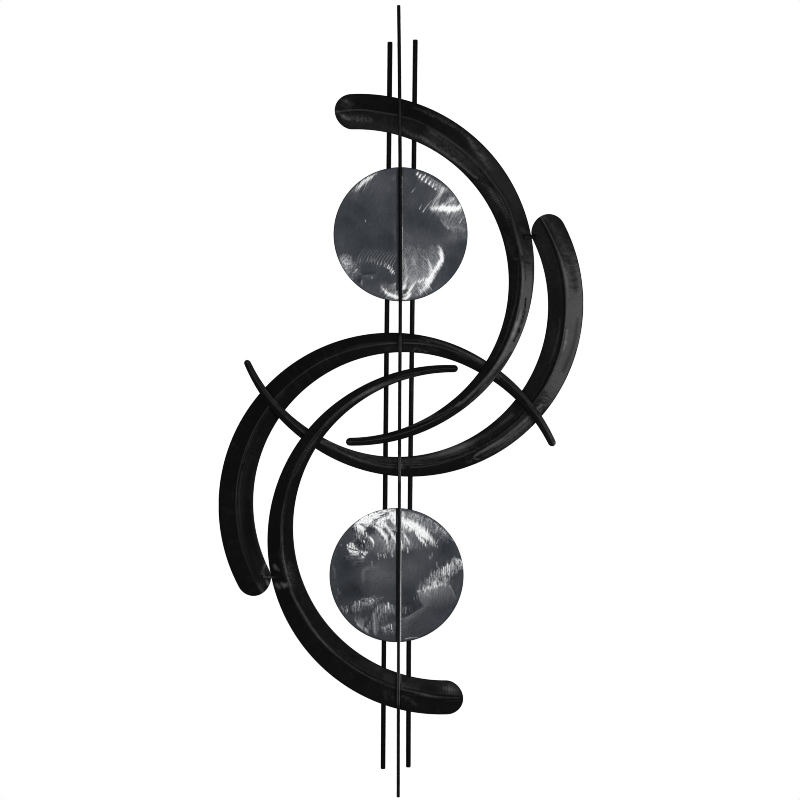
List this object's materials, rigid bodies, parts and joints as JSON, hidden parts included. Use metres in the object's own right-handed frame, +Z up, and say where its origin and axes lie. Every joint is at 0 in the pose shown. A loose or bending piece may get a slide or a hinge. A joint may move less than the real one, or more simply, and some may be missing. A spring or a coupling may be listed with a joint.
{
  "type": "metal wall art",
  "caption": "Abstract wall sculpture of folded sheet-metal crescents sweeping round ground steel discs on slim vertical rods, hung from a flat strap at the back.",
  "frame": {"origin": "middle of the upper hanger strap's back face, on the wall, behind the middle of the upper disc", "axes": "+Z up the wall along the rods, +Y into the wall, +X to the right of a person who faces the front, which looks along -Y"},
  "size_m": [0.5613, 0.0311, 1.2193],
  "materials": {
    "crescent_paint": "satin black paint over hand-ground, hammered sheet, with a bright narrow sheen along the fold",
    "rod_paint": "satin black paint on round bar",
    "disc_steel": "bare steel ground in overlapping arcs, clear coated",
    "strap_paint": "flat black paint"
  },
  "bodies": {
    "root": {"crescent_upper_right": "crescent_paint", "crescent_right_lower": "crescent_paint", "crescent_left_upper": "crescent_paint", "crescent_lower_left": "crescent_paint", "disc_upper": "disc_steel", "disc_lower": "disc_steel", "rod_left": "rod_paint", "rod_right": "rod_paint", "rod_centre": "rod_paint", "link_right": "rod_paint", "link_left": "rod_paint", "hanger_strap_upper": "strap_paint", "hanger_strap_lower": "strap_paint"}
  },
  "joints": []
}
